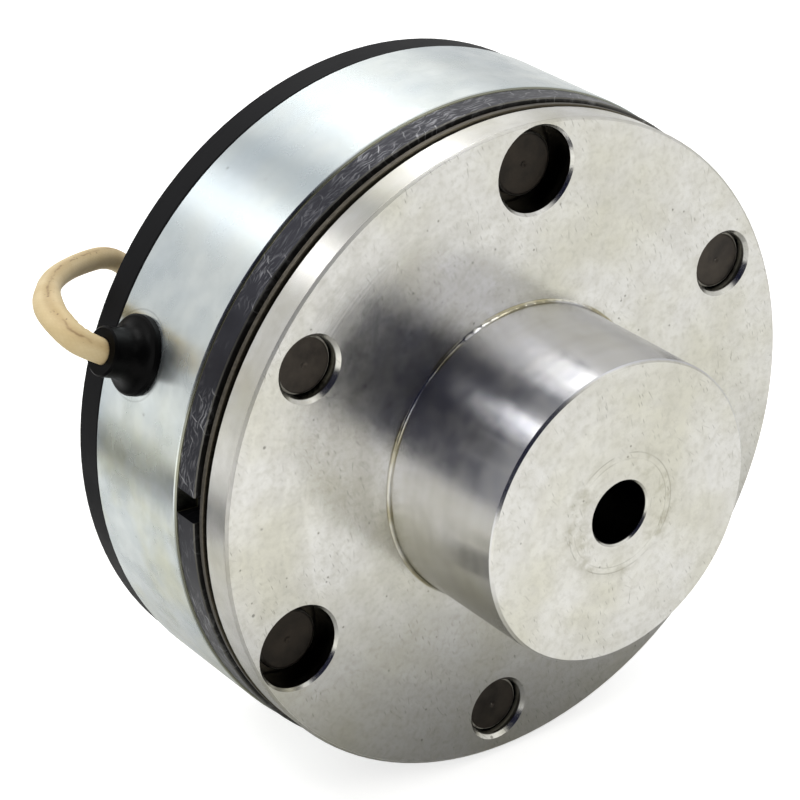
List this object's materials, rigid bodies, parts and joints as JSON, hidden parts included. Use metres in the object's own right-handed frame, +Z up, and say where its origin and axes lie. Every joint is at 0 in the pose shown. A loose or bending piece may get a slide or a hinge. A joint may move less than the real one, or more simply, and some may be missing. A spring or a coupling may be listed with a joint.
{
  "type": "permanent magnet brake",
  "caption": "Round single-face permanent magnet brake: magnet body with coil and cable outlet, riveted leaf-spring armature and a flanged hub with a pilot bore.",
  "frame": {"origin": "centre of the rear mounting face, on the brake's axis", "axes": "+Y is the brake's axis, from the hub to the rear mounting face and out of it; +Z is up as the brake stands on its rim; +X is to the right seen from the hub's side"},
  "size_m": [0.0975, 0.1098, 0.09],
  "materials": {
    "black_flange": "black, semi-matt coating",
    "zinc_steel": "turned steel, bright zinc plated, faint blue and yellow passivation",
    "armature_steel": "ground steel, dark grey, light scratches",
    "spring_steel": "rolled spring steel strip",
    "washer_steel": "plain punched steel",
    "rivet_steel": "black oxide",
    "screw_steel": "black oxide",
    "hub_metal": "turned light metal, satin",
    "ferrite": "sintered hard ferrite, matt",
    "bobbin_plastic": "glass-filled plastic",
    "winding_copper": "enamelled copper wire",
    "potting_resin": "cast resin, ground flush with the poles",
    "grommet_rubber": "moulded black rubber",
    "cable_fabric": "woven, varnished sleeve, cream",
    "lead_insulation": "insulated stranded lead",
    "tinned_copper": "tinned strand",
    "tie_plastic": "natural nylon"
  },
  "bodies": {
    "stator": {"rear_flange": "black_flange", "magnet_housing": "zinc_steel", "inner_pole": "zinc_steel", "pole_screws": "screw_steel", "core_screws": "screw_steel", "coil_bobbin": "bobbin_plastic", "coil_winding": "winding_copper", "potting_ring": "potting_resin", "cable_grommet": "grommet_rubber", "lead_wires": "lead_insulation", "cable_sleeve": "cable_fabric", "cable_coil": "cable_fabric", "cable_ties": "tie_plastic", "lead_ends": "lead_insulation", "lead_tips": "tinned_copper", "magnet_1": "ferrite", "magnet_2": "ferrite", "magnet_3": "ferrite", "magnet_4": "ferrite", "magnet_5": "ferrite", "magnet_6": "ferrite", "magnet_7": "ferrite", "magnet_8": "ferrite"},
    "rotor": {"hub": "hub_metal", "hub_rivets": "rivet_steel", "hub_washers": "washer_steel", "leaf_spring": "spring_steel"},
    "armature": {"armature_disc": "armature_steel", "armature_rivets": "rivet_steel", "armature_washers": "washer_steel"}
  },
  "joints": [
    {"name": "hub_spin", "type": "hinge", "parent": "stator", "child": "rotor", "pos_m": [0, 0, 0], "axis": [0, -1, 0], "continuous": true},
    {"name": "armature_release", "type": "slide", "parent": "rotor", "child": "armature", "axis": [0, -1, 0], "range_m": [0, 0.0004], "stiffness_N_per_m": 5000, "springref_m": -0.002, "deforming": ["leaf_spring"]}
  ]
}
